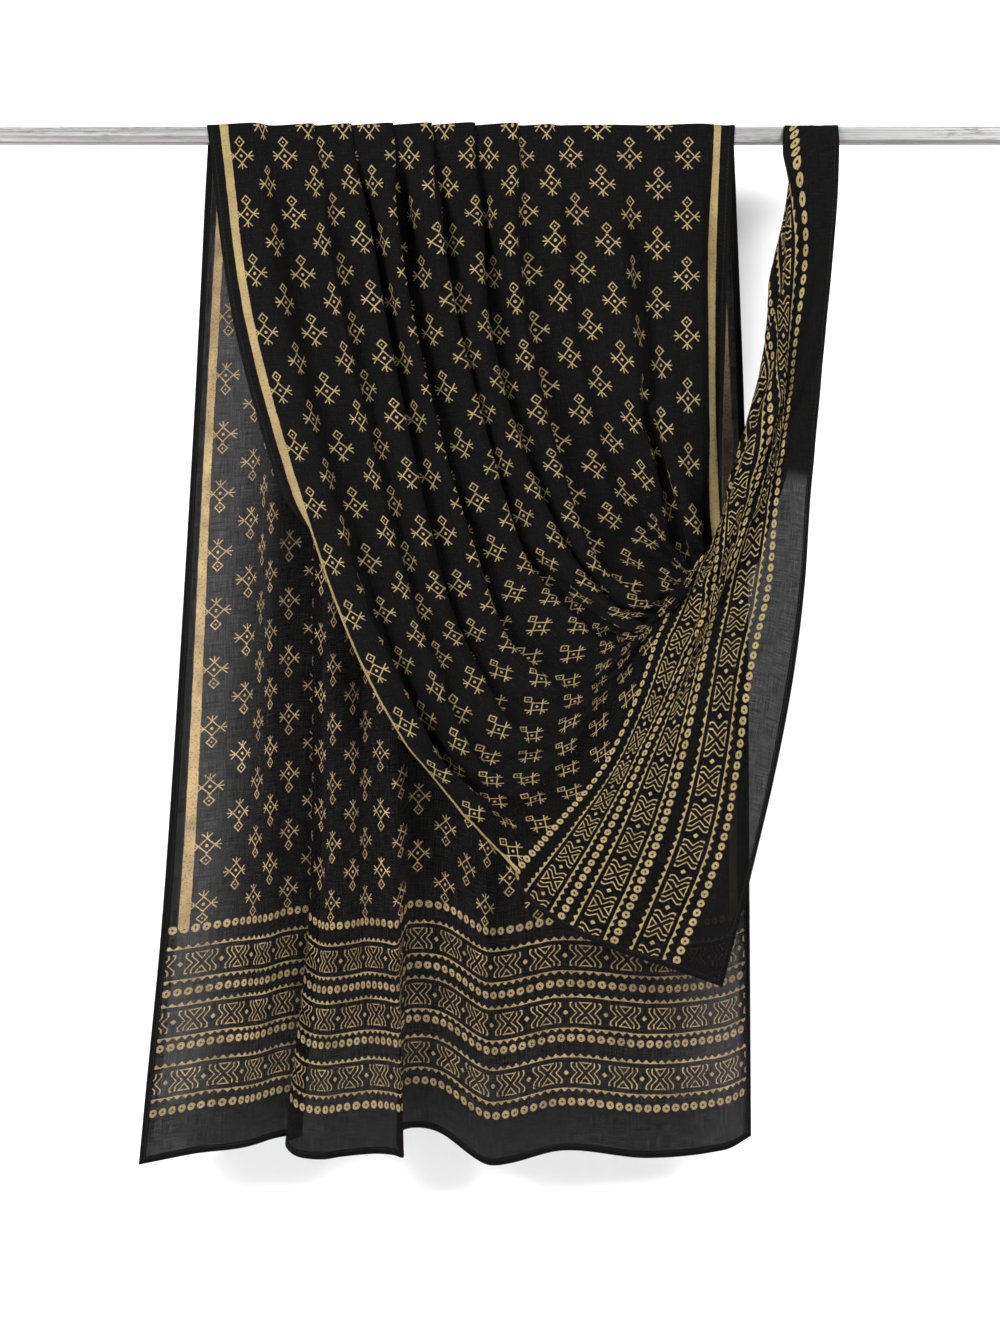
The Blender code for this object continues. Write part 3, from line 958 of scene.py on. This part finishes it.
def stitch_tree(finish):
    """Geometry nodes: short rods of thread at an even pitch along each line."""
    tree = bpy.data.node_groups.new("hem_stitches", "GeometryNodeTree")
    for side in ("OUTPUT", "INPUT"):
        tree.interface.new_socket("Geometry", in_out=side, socket_type="NodeSocketGeometry")
    for name in ("Pitch", "Stitch length", "Thread"):
        tree.interface.new_socket(name, in_out="INPUT", socket_type="NodeSocketFloat").subtype = "DISTANCE"
    start, end = tree.nodes.new("NodeGroupInput"), tree.nodes.new("NodeGroupOutput")
    curves = tree.nodes.new("GeometryNodeMeshToCurve")
    places = tree.nodes.new("GeometryNodeCurveToPoints")
    places.mode = "LENGTH"
    rod = tree.nodes.new("GeometryNodeMeshCylinder")
    rod.inputs["Vertices"].default_value = 6
    radius = tree.nodes.new("ShaderNodeMath")
    radius.operation = "MULTIPLY"
    radius.inputs[1].default_value = 0.5
    # each rod a little thicker or thinner, shorter or longer
    uneven = tree.nodes.new("FunctionNodeRandomValue")
    uneven.data_type = "FLOAT_VECTOR"
    uneven.inputs["Min"].default_value = (0.9, 0.9, 0.75)
    uneven.inputs["Max"].default_value = (1.1, 1.1, 1.2)
    uneven.inputs["Seed"].default_value = 7
    copies = tree.nodes.new("GeometryNodeInstanceOnPoints")
    real = tree.nodes.new("GeometryNodeRealizeInstances")
    paint = tree.nodes.new("GeometryNodeSetMaterial")
    paint.inputs["Material"].default_value = finish
    for source, target in (
        (start.outputs["Geometry"], curves.inputs["Mesh"]),
        (curves.outputs["Curve"], places.inputs["Curve"]),
        (start.outputs["Pitch"], places.inputs["Length"]),
        (start.outputs["Thread"], radius.inputs[0]),
        (radius.outputs[0], rod.inputs["Radius"]),
        (start.outputs["Stitch length"], rod.inputs["Depth"]),
        (places.outputs["Points"], copies.inputs["Points"]),
        (places.outputs["Rotation"], copies.inputs["Rotation"]),
        (rod.outputs["Mesh"], copies.inputs["Instance"]),
        (uneven.outputs["Value"], copies.inputs["Scale"]),
        (copies.outputs["Instances"], real.inputs["Geometry"]),
        (real.outputs["Geometry"], paint.inputs["Geometry"]),
        (paint.outputs["Geometry"], end.inputs["Geometry"]),
    ):
        tree.links.new(source, target)
    return tree


def hem_stitches(settings, across, along, points):
    """The running stitch that holds each turned-in edge, as one plain mesh."""
    stitches = link("hem_stitches", seam_lines(settings, across, along, points))
    sewn = stitches.modifiers.new("stitches", "NODES")
    sewn.node_group = stitch_tree(thread_finish(settings))
    values = {
        "Pitch": settings.stitch_pitch, "Stitch length": settings.stitch_length, "Thread": settings.thread}
    for socket in sewn.node_group.interface.items_tree:
        if socket.in_out == "INPUT" and socket.name in values:
            sewn[socket.identifier] = values[socket.name]
    plain_mesh(stitches)
    if not stitches.data.polygons:
        raise RuntimeError("the hem stitches came out empty")
    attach(stitches, "root")
    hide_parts("dupatta")
    return stitches


# ---- operators ----
class DUPATTA_OT_bar(bpy.types.Operator):
    """Finishes the bar"""
    bl_idname = "dupatta.bar"
    bl_label = "Bar"

    def execute(self, context):
        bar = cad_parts["bar"]
        bar.data.materials.clear()
        bar.data.materials.append(brushed_metal(context.scene.dupatta_bar))
        return {"FINISHED"}


class DUPATTA_OT_cloth(bpy.types.Operator):
    """Hangs the printed cloth over the bar and sews its hems"""
    bl_idname = "dupatta.cloth"
    bl_label = "Cloth"

    def execute(self, context):
        settings = context.scene.dupatta_cloth
        across, along = grid_lines(settings)
        points = draped(across, along, SETTLE_FRAMES)
        mesh = grid_mesh("printed_voile", across, along, points)
        cloth = link("printed_voile", mesh)
        hem = cloth.vertex_groups.new(name="thickness")
        edge = np.minimum(
            np.minimum(across, WIDTH - across)[None, :], np.minimum(along, LENGTH - along)[:, None])
        thin = settings.cloth / settings.hem
        for i, d in enumerate(edge.ravel()):
            hem.add([i], 1.0 if d * MM < settings.hem_width else thin, "REPLACE")
        for finish in (voile("voile_reverse", settings, True), voile("voile_face", settings, False)):
            mesh.materials.append(finish)
        solid = cloth.modifiers.new("cloth", "SOLIDIFY")
        solid.thickness = settings.hem
        solid.offset = 0.0
        solid.vertex_group = "thickness"
        solid.material_offset = 1
        solid.use_rim = True
        solid.use_even_offset = False
        plain_mesh(cloth)
        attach(cloth, "root")
        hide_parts("dupatta")
        stitches = hem_stitches(settings, across, along, points)
        return {"FINISHED"}


def backdrop_mesh(settings):
    """Floor and wall in one sheet, joined by a bend."""
    profile = [(BACKDROP_NEAR, settings.floor)]
    for k in range(BEND_STEPS + 1):
        turn = k / BEND_STEPS * math.pi / 2
        profile.append((
            settings.wall - BACKDROP_BEND + BACKDROP_BEND * math.sin(turn),
            settings.floor + BACKDROP_BEND * (1 - math.cos(turn))))
    profile.append((settings.wall, BACKDROP_TOP))
    bm = bmesh.new()
    left, right = ([bm.verts.new((x, y, z)) for y, z in profile] for x in BACKDROP_SIDES)
    for j in range(len(profile) - 1):
        bm.faces.new((left[j], right[j], right[j + 1], left[j + 1])).smooth = True
    mesh = bpy.data.meshes.new("backdrop")
    bm.to_mesh(mesh)
    bm.free()
    mesh.materials.append(paper_finish(settings.paper))
    return mesh


class DUPATTA_OT_studio(bpy.types.Operator):
    """Sets up the floor, the backdrop, the lights and the camera"""
    bl_idname = "dupatta.studio"
    bl_label = "Studio"

    def execute(self, context):
        settings = context.scene.dupatta_studio
        link("backdrop", backdrop_mesh(settings))
        world = bpy.data.worlds.new("studio")
        world.use_nodes = True
        sky = world.node_tree.nodes["Background"].inputs
        sky["Color"].default_value = (1, 1, 1, 1)
        sky["Strength"].default_value = WORLD_STRENGTH
        context.scene.world = world
        for name, place, size, power in LIGHTS:
            light = bpy.data.lights.new(name, "AREA")
            light.size = size
            light.energy = power
            lamp = link(name, light)
            lamp.location = place
            lamp.rotation_euler = (Vector(LIGHTS_AIM) - lamp.location).to_track_quat("-Z", "Y").to_euler()
        lens = bpy.data.cameras.new("camera")
        lens.sensor_fit = "VERTICAL"
        lens.sensor_height = SENSOR_HEIGHT
        lens.lens = SENSOR_HEIGHT * settings.distance / VIEW_HEIGHT
        camera = link("camera", lens)
        camera.location = (CAMERA_X, -settings.distance - REACH * MM, CAMERA_Z)
        camera.rotation_euler = (math.pi / 2, 0, 0)
        context.scene.camera = camera
        context.scene.view_settings.view_transform = "Standard"
        return {"FINISHED"}


class DUPATTA_PT_panel(bpy.types.Panel):
    bl_idname = "DUPATTA_PT_panel"
    bl_label = "Printed dupatta"
    bl_space_type = "VIEW_3D"
    bl_region_type = "UI"
    bl_category = "Dupatta"

    def draw(self, context):
        layout = self.layout
        for operator in OPERATORS:
            layout.operator(operator.bl_idname)
        for group, _ in GROUPS:
            settings = getattr(context.scene, group)
            box = layout.box()
            for name in settings.__annotations__:
                box.prop(settings, name)


GROUPS = (
    ("dupatta_cloth", DupattaSettings),
    ("dupatta_bar", BarSettings),
    ("dupatta_studio", StudioSettings),
)
OPERATORS = (DUPATTA_OT_bar, DUPATTA_OT_cloth, DUPATTA_OT_studio)


def register():
    for name, group in GROUPS:
        bpy.utils.register_class(group)
        setattr(bpy.types.Scene, name, bpy.props.PointerProperty(type=group))
    for kind in (*OPERATORS, DUPATTA_PT_panel):
        bpy.utils.register_class(kind)


def unregister():
    for kind in (DUPATTA_PT_panel, *reversed(OPERATORS)):
        bpy.utils.unregister_class(kind)
    for name, group in reversed(GROUPS):
        delattr(bpy.types.Scene, name)
        bpy.utils.unregister_class(group)


def main():
    register()
    bpy.ops.dupatta.bar()
    bpy.ops.dupatta.cloth()
    bpy.ops.dupatta.studio()


if __name__ == "__main__":
    main()
